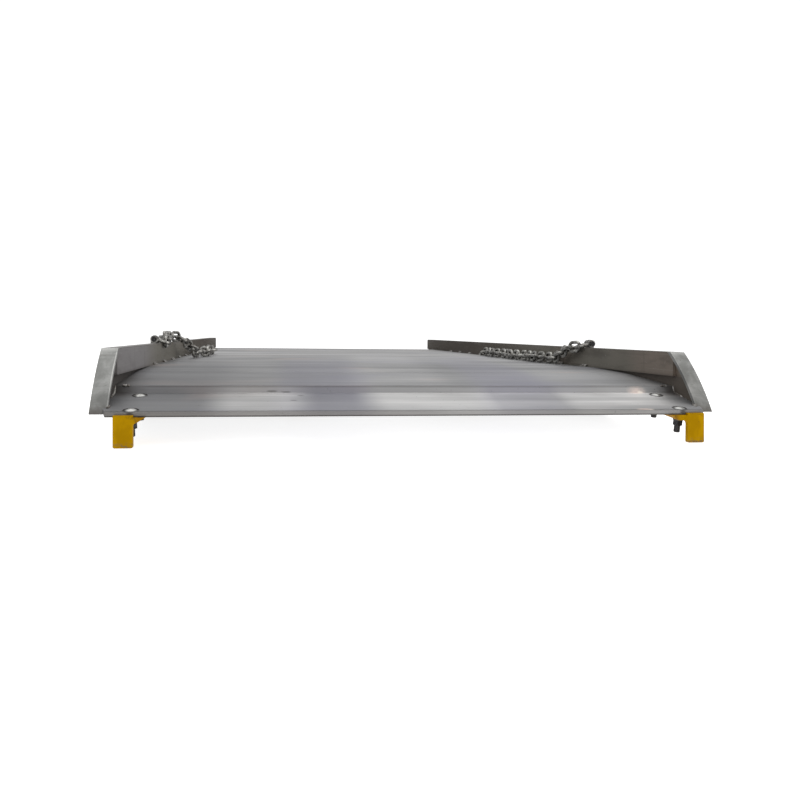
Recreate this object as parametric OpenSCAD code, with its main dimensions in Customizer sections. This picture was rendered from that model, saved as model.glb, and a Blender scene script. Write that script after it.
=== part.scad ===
// Aluminium walk ramp: a crosswise plank deck with a bevelled lip, channel side rails with
// curbs, two bolted bracket legs and a lifting chain on each side.
// Millimetres. Modelled with the deck's level face at height 0 and the lip's edge at y = 0,
// then raised so that the rails and the legs stand on the ground.

/* [Deck] */
// Clear width between the faces of the two curbs
deck_width = 914.4; // [700:0.1:1200]
// Length of the lip and the bent plank along the ramp
lip_end_l = 304.8; // [270:0.1:360]
// Length of one deck plank along the ramp
plank_l = 304.8; // [240:0.1:360]
// Number of full deck planks
plank_count = 6; // [6:1:9]
// Length of the half plank before the ground end
heel_plank_l = 152.4; // [120:0.1:200]
// Length of the bevelled plank at the ground end
ground_plank_l = 152.4; // [120:0.1:200]
// Thickness of the walking skin
skin_t = 5; // [4:0.5:7]
// Depth of a plank from its walking face to the feet of its ribs
plank_depth = 32; // [26:1:36]
// Thickness of a plank's ribs
rib_t = 4; // [3:0.5:6]
// Width of the foot under a rib
rib_foot_w = 16; // [10:1:22]
// Thickness of the foot under a rib
rib_foot_t = 4; // [3:0.5:6]
// Number of ribs under a full plank
ribs_per_plank = 4; // [3:1:5]
// Chamfer along each edge of a plank, seen as the seam line
seam_chamfer = 1.2; // [0.6:0.1:2]

/* [Bevelled lip] */
// Drop of the lip's front edge below the level deck
nose_drop = 48.5; // [46:0.1:51]
// Thickness of the lip plate
lip_t = 6.9; // [6:0.1:8]
// Slope of the lip, in degrees
lip_slope = 10.5; // [9.5:0.1:11.5]
// Length of the lip plate with the tail under the bent plank
lip_l = 165; // [150:1:180]
// Distance of the bent plank's edge from the lip's edge
lap_y = 107.5; // [106.5:0.5:112]
// Thickness of the bent plank's edge over the lip
lap_t = 11.2; // [9:0.1:12]
// Run of the bevel on that edge
lap_bevel = 7; // [4:0.5:10]
// Drop of the deck at the seam behind the bent plank
knee_drop = 4.5; // [3:0.1:7]
// Distance past that seam at which the deck is level
crest_run = 152.4; // [100:0.1:200]
// Distance of the fine groove from the lip's edge
nose_groove_y = 6; // [4:0.5:10]
// Width of the lip's corner cut across the ramp
corner_cut_w = 5.8; // [4:0.1:12]
// Length of the lip's corner cut along the ramp
corner_cut_l = 20; // [10:1:30]

/* [Ground end] */
// Drop of the deck at the ground edge
ground_drop = 24; // [16:1:28]
// Thickness of the ground edge
ground_nose_t = 8; // [5:0.5:12]

/* [Curb] */
// Height of the curb above the level deck
curb_h = 41; // [32:0.5:60]
// Thickness of the curb bar
curb_t = 6; // [5:0.5:8]
// Distance of the curb's near end from the lip's edge
curb_near_y = 106; // [100:1:114]
// Distance of the curb's far end from the ground edge
curb_far_gap = 48; // [30:1:80]
// Radius of the curb's top far corner
curb_corner_r = 10; // [4:1:16]
// Leg of the stitch weld at the curb's foot
weld_leg = 5; // [3:0.5:7]
// Length of one stitch weld
weld_l = 40; // [25:1:60]
// Spacing of the stitch welds
weld_pitch = 152.4; // [120:0.1:200]

/* [Side rail] */
// Width over the curb bar and the rail's flange
rail_w = 25.4; // [24:0.1:30]
// Thickness of the rail's web
rail_web_t = 5; // [4:0.5:7]
// Thickness of the rail's flanges
rail_flange_t = 6; // [4:0.5:8]
// Height at which the level deck stands over the ground
stand_h = 98.8; // [92:0.1:130]
// Length of the rail's raised run at the lip end
rail_nib_l = 150; // [130:1:170]
// Length of the rail's raised run at the ground end
rail_far_nib = 60; // [30:1:100]
// Length of the rail's taper at each end
rail_taper_l = 290; // [220:1:340]
// Width of the ledge bar that carries the planks
ledge_w = 30; // [22:1:45]
// Thickness of that ledge bar
ledge_t = 5; // [4:0.5:8]

/* [Curb end band] */
// Radius of the band's outer face
band_r = 400; // [360:1:460]
// Thickness of the band
band_t = 6; // [4:0.5:8]
// Distance of the band's top from the lip's edge
band_top_y = 118; // [112:1:126]
// Slope of the band at its top, in degrees
band_top_slope = 33; // [30:0.5:36]
// Depth of the band's foot below the level deck
band_foot_drop = 53; // [51:0.5:55]

/* [Inner beams] */
// Distance of each inner beam from the middle
beam_x = 170; // [120:1:240]
// Depth of a beam
beam_h = 50; // [40:1:60]
// Width of a beam's flanges
beam_w = 50; // [40:1:70]
// Thickness of a beam's web and flanges
beam_t = 5; // [4:0.5:7]
// Length of the slanted cut at a beam's ends
beam_cut_l = 60; // [30:1:90]

/* [Legs] */
// Width of a leg
leg_w = 27.5; // [26:0.1:29]
// Distance of the right leg's middle from the ramp's middle
right_leg_x = 441; // [438:0.5:443]
// Distance of the left leg's middle from the ramp's middle
left_leg_x = 431; // [428:0.5:436]
// Distance of the bracket's inner edge from the ramp's middle
plate_inner_x = 401; // [398:0.5:404]
// Thickness of the bracket
strap_t = 8; // [7:0.1:9]
// Length of the bracket's plate under the lip
plate_l = 108; // [107:0.5:110]
// Inner radius between the plate and the leg
bracket_r = 5; // [3:0.5:6]
// Height of the leg's top against the lip's edge
leg_rise = 3.2; // [3:0.1:5]
// Radius of the leg's top edge
leg_top_r = 2.8; // [1:0.1:3]
// Forward lean of the leg, in degrees
leg_lean = 4; // [0:0.5:6]
// Width of the slanted corner at the plate's front
flare_w = 12; // [8:0.5:12]
// Height of that corner
flare_h = 7.5; // [5:0.5:7.5]
// Largest fillet between the plate and the leg
flare_r = 6; // [3:0.5:8]
// Radius at the leg's bottom corners
leg_corner_r = 2.5; // [1:0.5:5]
// Distance of the near bolts from the ramp's middle
near_bolt_x = 423; // [421:0.5:426]
// Distance of the far bolts from the ramp's middle
far_bolt_x = 422.5; // [420:0.5:424]
// Distance of the near bolt from the lip's edge
near_bolt_y = 13; // [13:0.5:15]
// Distance of the far bolt from the lip's edge
far_bolt_y = 95; // [84:0.5:95]

/* [Leg bolts] */
// Diameter of the carriage bolt
bolt_d = 9.5; // [8:0.1:10]
// Diameter of its round head
head_d = 21; // [19:0.1:21.5]
// Height of its round head
head_h = 3.4; // [3:0.1:5]
// Length under the head
bolt_l = 38.1; // [34:0.1:44]
// Radial clearance of the bolt in its holes
bolt_gap = 0.3; // [0.2:0.05:0.5]
// Depth of the spot face that seats the head
spot_depth = 1; // [0.5:0.1:1.4]
// Gap around the head in its spot face
spot_gap = 1; // [0.5:0.1:1]
// Width of the nut across its flats
nut_af = 14.3; // [13:0.1:16]
// Height of the nut
nut_h = 8.3; // [7:0.1:9]
// Diameter of the washer
washer_d = 20; // [18:0.5:22]
// Thickness of the washer
washer_t = 1.6; // [1.2:0.1:2.5]
// Diameter of the lock washer
lock_d = 16.8; // [15:0.1:18]
// Thickness of the lock washer
lock_t = 2.4; // [2:0.1:3]
// Width of the lock washer's split
lock_split = 1.2; // [0.8:0.1:2]

/* [Lifting chain] */
// Diameter of the link wire
wire_d = 7.1; // [6:0.1:8]
// Inside length of a link
link_inner_l = 25.4; // [25:0.1:32]
// Inside width of a link
link_inner_w = 12.7; // [12:0.1:14]
// Gap left between links that touch
link_gap = 0.3; // [0.2:0.05:0.5]
// Links in each chain
chain_links = 32; // [28:2:36]
// Links in each of the right chain's first two lying runs
right_run_links = 8; // [4:2:8]
// Links in each of the left chain's first two lying runs
left_run_links = 6; // [2:2:6]
// Distance of the right eye from the lip's edge
right_eye_y = 530; // [480:1:700]
// Distance of the left eye from the lip's edge
left_eye_y = 650; // [480:1:760]
// Side to side sway of the right lying run, in degrees
right_sway = 7; // [0:1:12]
// Side to side sway of the left lying run, in degrees
left_sway = 22; // [0:1:24]
// Twist of the links between the joints, in degrees
link_twist = 14; // [0:1:20]
// Gap between the chain and the deck that it lies on
lay_gap = 0.7; // [0.6:0.1:1]

/* [Shackle and eye] */
// Thickness of the welded eye
eye_t = 8; // [6:0.5:9]
// Radius of the eye's round top
eye_r = 8.6; // [8:0.1:8.8]
// Distance of the pin from the outer side of the rail
pin_inset = 8.6; // [8:0.1:10]
// Diameter of the shackle pin
pin_d = 8; // [7:0.1:9]
// Height of the pin over the curb's top
pin_h = 8.9; // [8.8:0.1:10.2]
// Diameter of the pin's head
pin_head_d = 11; // [10:0.5:13]
// Thickness of the pin's head
pin_head_t = 3; // [2:0.5:4]
// Width of the pin's nut over its corners
pin_nut_d = 12; // [11:0.5:13]
// Radial clearance of the pin in the eye
pin_gap = 0.1; // [0.05:0.01:0.1]
// Radial clearance of the pin in the shackle
pin_seat_gap = 0.05; // [0.02:0.01:0.1]
// Diameter of the shackle wire
shackle_wire_d = 7.2; // [6:0.1:8]
// Clear width between the shackle's legs
shackle_inner_w = 13; // [12:0.1:15]
// Distance from the pin to the middle of the shackle's bow
shackle_reach = 22; // [22:0.5:26]
// Radius of the shackle's ears
ear_r = 8; // [7:0.1:9]
// Droop of the shackle over the curb, in degrees
shackle_droop = 16; // [13:0.5:16]
// Place on the bow where the first link hangs, in degrees from its crown
hang_angle = 68; // [66:1:72]

/* [Hidden] */
$fn = 64;
band_facets = 200;
// Overshoot of a cut past a face
past = 1;
knee_y = lip_end_l;
heel_y = knee_y + plank_count * plank_l;
ground_y = heel_y + heel_plank_l;
ramp_l = ground_y + ground_plank_l;
curb_face_x = deck_width / 2;
web_x = curb_face_x + curb_t;
outer_x = curb_face_x + rail_w;
plank_w = 2 * web_x;
rail_far_y = ramp_l - curb_far_gap;
band_c = [band_top_y + band_r * sin(band_top_slope), curb_h - band_r * cos(band_top_slope)];

// The lip plate: its sloped run, then a flatter tail under the bent plank
lap_foot = [lap_y, lap_y * tan(lip_slope) - nose_drop];
lap_edge = lap_foot + [lap_bevel, lap_t];
knee = [knee_y, -knee_drop];
lap_slope = atan((knee[1] - lap_edge[1]) / (knee[0] - lap_edge[0]));
tail_end = lap_foot + (lip_l - lap_y) * [1, tan(lap_slope)];
lip_drop_t = lip_t / cos(lip_slope);
nose_bottom = nose_drop + lip_drop_t;
seat_h = lip_t - spot_depth;
function under_z(y) = y * tan(lip_slope) - nose_bottom;

// Directions in the bracket's outline: up from its plate, down its leg and behind its leg
plate_up = [-sin(lip_slope), cos(lip_slope)];
leg_down = [-sin(leg_lean), -cos(leg_lean)];
leg_behind = [cos(leg_lean), -sin(leg_lean)];
function at_ground(p) = p + leg_down * (p[1] + stand_h) / cos(leg_lean);
leg_toe_y = at_ground([-strap_t, -nose_bottom])[0];
mid_y = (ramp_l + leg_toe_y) / 2;

// Chain sizes: a link's length over its wire centres, and the spacing at a crossing
link_len = link_inner_l + wire_d;
crossing = wire_d + link_gap;
link_half_w = (link_inner_w + wire_d) / 2;
lay_h = link_half_w + wire_d / 2 + lay_gap;
shackle_bow_r = (shackle_inner_w + shackle_wire_d) / 2;
pin_x = outer_x - pin_inset;
pin_z = curb_h + pin_h;

MILL = "#a9abae";
RAIL_GREY = "#7d7873";
BAND_GREY = "#b4b5b3";
LEG_YELLOW = "#c79a10";
ZINC = "#c9c9c4";
DARK_STEEL = "#2f2f31";
CHAIN_GREY = "#8f8d88";

// Sections: a y-z outline swept across the ramp, or from one x to another
module across(w) {
    rotate([90, 0, 90]) translate([0, 0, -w / 2]) linear_extrude(w) children();
}
module slab(x, t) {
    translate([x, 0, 0]) rotate([90, 0, 90]) linear_extrude(t) children();
}
module raised() {
    translate([0, -mid_y, stand_h]) children();
}
// A child made for the right side, on the side named
module on_side(side) {
    if (side == "left") mirror([1, 0, 0]) children();
    else children();
}
function at_height(points, dz) = [for (p = points) [p[0], p[1] - dz]];
function backwards(points) = [for (i = [len(points) - 1 : -1 : 0]) points[i]];
// Height of a line of points at y
function line_z(points, y, i = 0) =
    i >= len(points) - 2 || y <= points[i + 1][0]
    ? points[i][1] + (points[i + 1][1] - points[i][1])
        * (y - points[i][0]) / (points[i + 1][0] - points[i][0])
    : line_z(points, y, i + 1);

// Deck planks
// A ribbed section: top is the walking line, bottom the line of the ribs' feet
module ribbed(top, bottom, ribs) {
    y0 = top[0][0];
    y1 = top[len(top) - 1][0];
    pitch = (y1 - y0 - rib_t) / (ribs - 1);
    polygon(concat(top, backwards(at_height(top, skin_t))));
    for (i = [0 : ribs - 1]) {
        y = y0 + i * pitch;
        z = line_z(bottom, y + rib_t / 2);
        cap = min(line_z(top, y), line_z(top, y + rib_t)) - skin_t / 2;
        foot_y = max(y0, min(y1 - rib_foot_w, y + (rib_t - rib_foot_w) / 2));
        translate([y, z]) square([rib_t, cap - z]);
        translate([foot_y, z]) square([rib_foot_w, rib_foot_t]);
    }
}
module seam_cut(p) {
    translate(p) rotate(45) square(seam_chamfer * sqrt(2), center = true);
}
module plank_section(top, bottom, ribs) {
    difference() {
        ribbed(top, bottom, ribs);
        seam_cut(top[0]);
        seam_cut(top[len(top) - 1]);
    }
}
ground_top = [[ground_y, 0], [ramp_l, -ground_drop]];
ground_bottom = [[ground_y, -plank_depth], [ramp_l, -ground_drop - ground_nose_t]];

module bolt_places() {
    for (s = [-1, 1], p = [[near_bolt_x, near_bolt_y], [far_bolt_x, far_bolt_y]])
        translate([s * p[0], p[1], under_z(p[1])]) rotate([lip_slope, 0, 0]) children();
}
module bolt_holes(below, above) {
    bolt_places() translate([0, 0, -below]) cylinder(d = bolt_d + 2 * bolt_gap, h = below + above);
}
module lip_plank() {
    top = [[0, -nose_drop], lap_foot, tail_end];
    color(MILL) raised() difference() {
        across(plank_w) difference() {
            polygon(concat(top, backwards(at_height(top, lip_drop_t))));
            translate([nose_groove_y, nose_groove_y * tan(lip_slope) - nose_drop])
                circle(seam_chamfer, $fn = 24);
        }
        bolt_holes(past, nose_bottom);
        bolt_places() translate([0, 0, seat_h])
            cylinder(d = head_d + 2 * spot_gap, h = nose_bottom);
        for (s = [-1, 1]) scale([s, 1, 1])
            translate([web_x, 0, -2 * nose_bottom]) linear_extrude(2 * nose_bottom)
                polygon([[-corner_cut_w, 0], [-corner_cut_w, -past], [past, -past], [past, corner_cut_l],
                         [0, corner_cut_l]]);
    }
}
// The bent plank: a solid tongue lapped on the lip plate's tail, then a ribbed section
module bend_plank() {
    tongue_top = line_z([lap_edge, knee], lip_l);
    color(MILL) raised() across(plank_w) difference() {
        union() {
            polygon([lap_foot, lap_edge, [lip_l, tongue_top], tail_end]);
            ribbed([[lip_l, tongue_top], knee],
                   [tail_end - [0, lip_drop_t], [knee_y, -plank_depth]], ribs_per_plank - 1);
        }
        seam_cut(knee);
    }
}
module deck_plank(i) {
    y0 = knee_y + (i - 1) * plank_l;
    end = [y0 + plank_l, 0];
    top = i == 1 ? [knee, [knee_y + crest_run, 0], end] : [[y0, 0], end];
    bottom = [[y0, -plank_depth], [y0 + plank_l, -plank_depth]];
    color(MILL) raised() across(plank_w) plank_section(top, bottom, ribs_per_plank);
}
module heel_plank() {
    bottom = [[heel_y, -plank_depth], [ground_y, -plank_depth]];
    color(MILL) raised() across(plank_w)
        plank_section([[heel_y, 0], [ground_y, 0]], bottom, ribs_per_plank - 1);
}
module ground_plank() {
    edge_y = ramp_l - rib_foot_w;
    color(MILL) raised() across(plank_w) {
        plank_section(ground_top, ground_bottom, ribs_per_plank - 1);
        polygon([[edge_y, line_z(ground_top, edge_y) - skin_t / 2],
                 [ramp_l, -ground_drop - skin_t / 2], ground_bottom[1],
                 [edge_y, line_z(ground_bottom, edge_y)]]);
    }
}

// Side rails and curbs, drawn for the right side
far_low = plank_depth + ledge_t + rail_flange_t;
rail_low = [[0, -band_foot_drop], [rail_nib_l, -band_foot_drop],
            [rail_nib_l + rail_taper_l, -stand_h],
            [rail_far_y - rail_taper_l - rail_far_nib, -stand_h],
            [rail_far_y - rail_far_nib, -far_low], [rail_far_y, -far_low]];
module under_band() {
    translate(band_c) circle(band_r - band_t, $fn = band_facets);
}
// Cuts away what stands in front of the band's underside
module behind_band(low) {
    difference() {
        children();
        difference() {
            translate([-past, low]) square([band_top_y + band_t * 2 + past, curb_h - low + past]);
            under_band();
        }
    }
}
module far_corner() {
    difference() {
        translate([rail_far_y - curb_corner_r, curb_h - curb_corner_r])
            square([curb_corner_r + past, curb_corner_r + past]);
        translate([rail_far_y - curb_corner_r, curb_h - curb_corner_r]) circle(curb_corner_r);
    }
}
module rail_side() {
    slab(web_x, rail_web_t) difference() {
        behind_band(-nose_bottom) polygon(concat(rail_low, [[rail_far_y, curb_h], [0, curb_h]]));
        far_corner();
    }
    slab(web_x, rail_w - curb_t) difference() {
        behind_band(0) translate([band_top_y - band_t, curb_h - rail_flange_t])
            square([rail_far_y - band_top_y + band_t, rail_flange_t]);
        far_corner();
    }
    low_run = [for (i = [1 : len(rail_low) - 1]) rail_low[i]];
    slab(web_x, rail_w - curb_t)
        polygon(concat(low_run, backwards(at_height(low_run, -rail_flange_t))));
}
module side_rail(side) {
    color(RAIL_GREY) raised() on_side(side) rail_side();
}
module deck_ledge(side) {
    color(RAIL_GREY) raised() on_side(side) slab(web_x - ledge_w, ledge_w)
        translate([knee_y, -plank_depth - ledge_t]) square([ground_y - knee_y, ledge_t]);
}
module curb(side) {
    color(RAIL_GREY) raised() on_side(side) slab(curb_face_x, curb_t) difference() {
        behind_band(-past) translate([curb_near_y, 0]) square([rail_far_y - curb_near_y, curb_h]);
        far_corner();
    }
}
module end_band(side) {
    below = -2 * nose_bottom;
    color(BAND_GREY) raised() on_side(side) difference() {
        slab(curb_face_x, rail_w) intersection() {
            difference() {
                translate(band_c) circle(band_r, $fn = band_facets);
                under_band();
            }
            translate([0, -band_foot_drop])
                square([band_top_y + 4 * band_t, band_foot_drop + curb_h]);
        }
        slab(curb_face_x - past, curb_t + past)
            polygon([[0, -nose_drop], lap_foot, [lap_y, below], [0, below]]);
    }
}
// Stitch welds between the curb's foot and the deck
module curb_welds(side) {
    first = knee_y + crest_run + weld_l;
    count = floor((heel_y - first) / weld_pitch);
    color(BAND_GREY) raised() on_side(side)
        for (i = [0 : count - 1])
            translate([curb_face_x, first + i * weld_pitch, 0]) rotate([-90, 0, 0])
                linear_extrude(weld_l) polygon([[0, 0], [-weld_leg, 0], [0, -weld_leg]]);
}

// Inner beams: an I section cut to a slant at both ends
module inner_beam(side) {
    y0 = knee_y;
    y1 = ground_y;
    z1 = -plank_depth;
    z0 = z1 - beam_h;
    color(RAIL_GREY) raised() on_side(side) intersection() {
        union() {
            for (z = [z0, z1 - beam_t])
                translate([beam_x - beam_w / 2, y0, z]) cube([beam_w, y1 - y0, beam_t]);
            translate([beam_x - beam_t / 2, y0, z0]) cube([beam_t, y1 - y0, beam_h]);
        }
        slab(beam_x - beam_w, 2 * beam_w)
            polygon([[y0, z1], [y0, z1 - beam_t], [y0 + beam_cut_l, z0], [y1 - beam_cut_l, z0],
                     [y1, z1 - beam_t], [y1, z1]]);
    }
}

// Legs: a plate under the lip, and a leg that stands against the lip's edge and hangs from it
// The point at a distance under the plate's top and a distance behind the leg's back
function bracket_point(under, behind) = [0, -nose_bottom]
    + [behind * cos(lip_slope) - under * sin(leg_lean), behind * sin(lip_slope) - under * cos(leg_lean)]
    / cos(lip_slope + leg_lean);
module bracket_outline() {
    edge = [0, -nose_bottom];
    front = [-strap_t, -nose_bottom];
    end = edge + plate_l * [cos(lip_slope), sin(lip_slope)];
    corner = bracket_point(strap_t, 0);
    c = bracket_point(strap_t + bracket_r, bracket_r);
    inside = strap_t / 4;
    polygon([front, edge, end, end - strap_t * plate_up, corner, at_ground(edge), at_ground(front)]);
    difference() {
        polygon([corner + inside * (plate_up - leg_behind), c + (bracket_r + inside) * plate_up,
                 c, c - (bracket_r + inside) * leg_behind]);
        translate(c) circle(bracket_r);
    }
}
// The leg's top, which stands against the lip's edge
module rise_outline() {
    round_z = leg_rise - nose_bottom - leg_top_r;
    difference() {
        translate([-strap_t, -nose_bottom - strap_t / 2]) square([strap_t, leg_rise + strap_t / 2]);
        difference() {
            translate([-strap_t - past, round_z]) square([leg_top_r + past, leg_top_r + past]);
            translate([leg_top_r - strap_t, round_z]) circle(leg_top_r);
        }
    }
}
function leg_x(side) = side == "left" ? left_leg_x : right_leg_x;
// The bracket seen from the front: a wide plate that narrows to the leg with a fillet
module leg_front(side) {
    inner = leg_x(side) - leg_w / 2;
    outer = leg_x(side) + leg_w / 2;
    low = under_z(0) - strap_t;
    fillet = max(1, min(flare_r, inner - plate_inner_x - flare_w));
    polygon([[plate_inner_x, 0], [plate_inner_x, low + flare_h], [plate_inner_x + flare_w, low],
             [outer, low], [outer, 0]]);
    translate([inner, leg_corner_r - stand_h])
        square([leg_w, stand_h - leg_corner_r + low + strap_t / 2]);
    translate([inner + leg_corner_r, -stand_h]) square([leg_w - 2 * leg_corner_r, 2 * leg_corner_r]);
    for (x = [inner + leg_corner_r, outer - leg_corner_r])
        translate([x, leg_corner_r - stand_h]) circle(leg_corner_r);
    difference() {
        translate([inner - fillet, low - fillet]) square([fillet + past, fillet + past]);
        translate([inner - fillet, low - fillet]) circle(fillet);
    }
}
module leg(side) {
    color(LEG_YELLOW) raised() difference() {
        on_side(side) {
            intersection() {
                slab(plate_inner_x - past, 2 * plate_l) bracket_outline();
                translate([0, plate_l * 2, 0]) rotate([90, 0, 0])
                    linear_extrude(4 * plate_l) leg_front(side);
            }
            slab(leg_x(side) - leg_w / 2, leg_w) rise_outline();
        }
        bolt_holes(strap_t + past, past);
    }
}
module leg_bolts() {
    dome_r = (head_d * head_d / 4 + head_h * head_h) / (2 * head_h);
    color(ZINC) raised() bolt_places() {
        intersection() {
            translate([0, 0, seat_h + head_h - dome_r]) sphere(dome_r);
            translate([0, 0, seat_h]) cylinder(d = 2 * head_d, h = head_h);
        }
        translate([0, 0, seat_h - bolt_l]) cylinder(d = bolt_d, h = bolt_l);
    }
}
module ring(outer_d, bore_d, t) {
    difference() {
        cylinder(d = outer_d, h = t);
        translate([0, 0, -past]) cylinder(d = bore_d, h = t + 2 * past);
    }
}
// A flat washer under the plate, then a split lock washer
module leg_washers() {
    color(ZINC) raised() bolt_places() {
        translate([0, 0, -strap_t - washer_t]) ring(washer_d, bolt_d + 2 * bolt_gap, washer_t);
        translate([0, 0, -strap_t - washer_t - lock_t]) difference() {
            ring(lock_d, bolt_d + 2 * bolt_gap, lock_t);
            translate([0, -lock_split / 2, -past]) cube([lock_d, lock_split, lock_t + 2 * past]);
        }
    }
}
module leg_nuts() {
    color(DARK_STEEL) raised() bolt_places()
        translate([0, 0, -strap_t - washer_t - lock_t - nut_h]) difference() {
            cylinder(d = nut_af / cos(30), h = nut_h, $fn = 6);
            translate([0, 0, -past]) cylinder(d = bolt_d + 2 * pin_seat_gap, h = nut_h + 2 * past);
        }
}

// Chain eye, shackle and pin, drawn for the right side at y = 0
module chain_eye(side) {
    color(RAIL_GREY) raised() on_side(side) translate([pin_x, eye_y(side), 0]) difference() {
        union() {
            translate([0, eye_t / 2, pin_z]) rotate([90, 0, 0]) cylinder(r = eye_r, h = eye_t);
            translate([-eye_r, -eye_t / 2, curb_h]) cube([2 * eye_r, eye_t, pin_z - curb_h]);
        }
        translate([0, eye_t, pin_z]) rotate([90, 0, 0]) cylinder(d = pin_d + 2 * pin_gap, h = 2 * eye_t);
    }
}
function eye_y(side) = side == "left" ? left_eye_y : right_eye_y;
module shackle_frame(side) {
    translate([pin_x, eye_y(side), pin_z]) rotate([0, -shackle_droop, 0]) rotate(180) children();
}
module shackle(side) {
    color(CHAIN_GREY) raised() on_side(side) shackle_frame(side) difference() {
        union() {
            translate([shackle_reach, 0, 0]) rotate(-90) rotate_extrude(angle = 180)
                translate([shackle_bow_r, 0]) circle(d = shackle_wire_d);
            for (s = [-1, 1]) {
                translate([0, s * shackle_bow_r, 0]) rotate([0, 90, 0])
                    cylinder(d = shackle_wire_d, h = shackle_reach);
                translate([0, s * shackle_bow_r + shackle_wire_d / 2, 0]) rotate([90, 0, 0])
                    cylinder(r = ear_r, h = shackle_wire_d);
            }
        }
        translate([0, 2 * shackle_inner_w, 0]) rotate([90, 0, 0])
            cylinder(d = pin_d + 2 * pin_seat_gap, h = 4 * shackle_inner_w);
    }
}
module shackle_pin(side) {
    outer_y = shackle_bow_r + shackle_wire_d / 2;
    color(DARK_STEEL) raised() on_side(side) shackle_frame(side) rotate([90, 0, 0]) {
        translate([0, 0, -outer_y]) cylinder(d = pin_d, h = 2 * outer_y);
        translate([0, 0, -outer_y - pin_head_t]) cylinder(d = pin_head_d, h = pin_head_t);
        translate([0, 0, outer_y]) cylinder(d = pin_nut_d, h = pin_head_t, $fn = 6);
    }
}

// Chain: a link is set by its azimuth, its rise and the roll of its plane, all in degrees
function heading(a) = [cos(a[1]) * cos(a[0]), cos(a[1]) * sin(a[0]), sin(a[1])];
function level_side(a) = [-sin(a[0]), cos(a[0]), 0];
function breadth(a) = level_side(a) * cos(a[2]) + cross(heading(a), level_side(a)) * sin(a[2]);
function unit(v) = v / norm(v);
// Where the next link's near wire lies, given the far wire of this one at p
function hooked(p, here, next_breadth, next_heading) =
    let (m = unit(cross(here, next_breadth)))
    p - crossing * (m * next_heading > 0 ? m : -m);
function link_end(start, a) = start + link_len * heading(a);
function link_starts(start, aims, i = 0) = i == len(aims) - 1
    ? [start]
    : concat([start], link_starts(
        hooked(link_end(start, aims[i]), breadth(aims[i]), breadth(aims[i + 1]), heading(aims[i + 1])),
        aims, i + 1));

shackle_aim = [180, -shackle_droop, 0];
function bow_dir(angle) = heading(shackle_aim) * cos(angle) + [0, 1, 0] * sin(angle);
function bow_wire(side) = [pin_x, eye_y(side), pin_z] + shackle_reach * heading(shackle_aim)
    + shackle_bow_r * bow_dir(hang_angle);
bow_breadth = [0, 1, 0] * cos(hang_angle) - heading(shackle_aim) * sin(hang_angle);

first_az = atan2(bow_dir(hang_angle)[1], bow_dir(hang_angle)[0]);
// The right chain falls straight to the deck; the left one first lies along the curb's top.
// The fall is found below so that the last of these links comes down level with the deck.
function right_aims(fall) =
    [[first_az, -3, 90], [96, fall, 0], [90, fall, 90], [90, fall, 0], [90, fall, 90], [90, 0, 0]];
function left_aims(fall) =
    [[94, 22.4, 90], [58, 8, 0], [84, 0, 90], [90, 0, 0], [92, 0, 90], [88, 0, 0], [90, 0, 90],
     [97, 0, 0], [116, 0, 90], [138, -28, 0], [120, fall, 90], [100, fall, 0],
     [92, 0.4 * fall, 90], [90, 0, 0]];
function lead_aims(side, fall) = side == "left" ? left_aims(fall) : right_aims(fall);
function sway(side) = side == "left" ? left_sway : right_sway;
function lead_links(side) = len(lead_aims(side, 0));
function run_links(side) = side == "left" ? left_run_links : right_run_links;
function tail_links(side) = chain_links - 1 - lead_links(side) - 2 * run_links(side);
// Turn of the sway from one lying link to the next, in degrees
sway_step = 45;
// The lying links: the twist is nothing at both ends of each run
function run_aims(side) = [for (i = [0 : chain_links - lead_links(side) - 2])
    let (run = min(2, floor(i / run_links(side))), k = i - run * run_links(side),
         count = run == 2 ? tail_links(side) : run_links(side),
         twist = link_twist * sin(180 * k / (count - 1)))
    [90 + sway(side) * sin(sway_step * (i + 0.5)), 0,
     (i % 2 == 0 ? 90 : 0) + (run % 2 == 0 ? twist : -twist)]];
end_fall = asin(link_half_w / link_len);
function chain_aims(side, fall) = concat(lead_aims(side, fall), run_aims(side),
    [[90 - sway(side), -end_fall, chain_links % 2 == 0 ? 0 : 90]]);
function chain_start(side, fall) = let (a = lead_aims(side, fall)[0])
    hooked(bow_wire(side), bow_breadth, breadth(a), heading(a));
function link_places(side, fall) = link_starts(chain_start(side, fall), chain_aims(side, fall));
// The fall that brings the lying run down onto the deck, closed in on step by step
fall_guess = -15;
fall_steps = 6;
function total(list, i = 0) = i == len(list) ? 0 : list[i] + total(list, i + 1);
// How many links' worth of drop one degree of fall turns
function falling_links(side) = let (level = lead_aims(side, 0), tilted = lead_aims(side, 1))
    total([for (i = [0 : len(level) - 1]) tilted[i][1] - level[i][1]]);
function lay_error(side, fall) = link_places(side, fall)[lead_links(side)][2] - lay_h;
function better_fall(side, fall) = fall
    - asin(lay_error(side, fall) / falling_links(side) / (link_len - crossing));
function settled_fall(side, fall, turns) = turns == 0
    ? fall
    : settled_fall(side, better_fall(side, fall), turns - 1);
falls = [for (side = ["left", "right"]) settled_fall(side, fall_guess, fall_steps)];
function fall_of(side) = side == "left" ? falls[0] : falls[1];

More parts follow.
